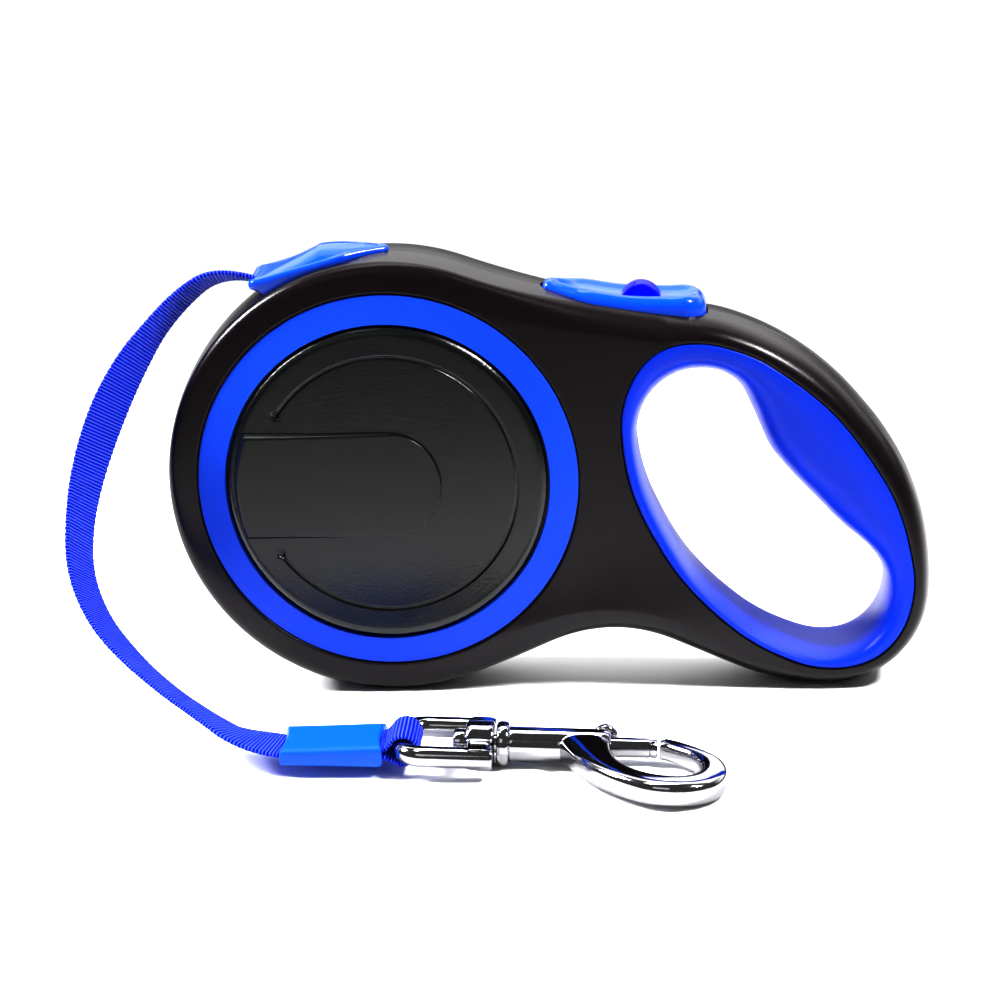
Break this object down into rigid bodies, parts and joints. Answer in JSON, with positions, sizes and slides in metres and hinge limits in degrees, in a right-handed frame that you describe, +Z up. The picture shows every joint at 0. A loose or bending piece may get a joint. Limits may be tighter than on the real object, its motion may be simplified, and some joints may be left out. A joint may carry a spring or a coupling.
{
  "type": "retractable leash",
  "caption": "Hand-held retractable leash: drum housing with a lined hand grip, braked spring reel, flat tape and a swivel snap hook.",
  "frame": {"origin": "on the surface the housing stands on, under the middle of the housing's length and thickness", "axes": "+X from the reel drum to the hand grip, +Z up, -Y the front face, where the tape comes round to the hook"},
  "size_m": [0.195, 0.1045, 0.1039],
  "materials": {
    "shell_black": "satin",
    "trim_blue": "gloss",
    "grip_blue": "satin",
    "cap_grey": "fine texture",
    "button_blue": "gloss",
    "tape_blue": "woven",
    "sleeve_blue": "satin",
    "hook_chrome": "polished",
    "steel": "plain",
    "spring_steel": "plain",
    "reel_plastic": "plain",
    "bronze": "plain"
  },
  "bodies": {
    "housing": {"front_shell": "shell_black", "back_shell": "shell_black", "grip_liner": "grip_blue", "front_ring": "trim_blue", "back_ring": "trim_blue", "front_cap": "cap_grey", "back_cap": "cap_grey", "tape_nozzle": "button_blue", "guide_pins": "steel", "housing_screws": "steel", "axle": "steel", "spring_arbor": "steel", "axle_screw": "steel", "axle_washer": "steel", "thrust_washers": "bronze", "tape_lead": "tape_blue", "brake_pivot_pin": "steel", "free_tape": "tape_blue", "tape_sleeve": "sleeve_blue", "tape_end_loop": "tape_blue"},
    "reel": {"reel": "reel_plastic", "ratchet_flange": "reel_plastic", "spring_cover": "reel_plastic", "reel_bushes": "bronze", "wound_tape": "tape_blue", "tape_anchor_pin": "steel", "reel_spring": "spring_steel"},
    "brake": {"brake_button": "button_blue", "brake_arm": "button_blue", "button_spring": "spring_steel"},
    "lock": {"lock_nub": "button_blue"},
    "eye": {"hook_eye": "hook_chrome"},
    "hook": {"hook_body": "hook_chrome", "gate_spring": "spring_steel"},
    "bolt": {"hook_gate": "hook_chrome"}
  },
  "joints": [
    {"name": "reel_spin", "type": "hinge", "parent": "housing", "child": "reel", "pos_m": [-0.0364, 0, 0.0511], "axis": [0, 1, 0], "continuous": true},
    {"name": "brake_press", "type": "hinge", "parent": "housing", "child": "brake", "pos_m": [0.0044, 0, 0.0896], "axis": [0, 1, 0], "range_deg": [0, 5], "stiffness_Nm_per_rad": 1.2, "springref_deg": -2.86, "deforming": ["button_spring"]},
    {"name": "lock_slide", "type": "slide", "parent": "brake", "child": "lock", "axis": [1, 0, 0], "range_m": [0, 0.003]},
    {"name": "eye_swing", "type": "hinge", "parent": "housing", "child": "eye", "pos_m": [-0.03039, -0.0596, 0.00573], "axis": [0, -1, 0], "range_deg": [0, 100]},
    {"name": "hook_swivel", "type": "hinge", "parent": "eye", "child": "hook", "pos_m": [-0.0139, -0.0596, 0.0051], "axis": [0.9993, 0, -0.0384], "continuous": true},
    {"name": "bolt_slide", "type": "slide", "parent": "hook", "child": "bolt", "axis": [-0.9993, 0, 0.0384], "range_m": [0, 0.0055], "stiffness_N_per_m": 400, "springref_m": -0.003, "deforming": ["gate_spring"]}
  ]
}
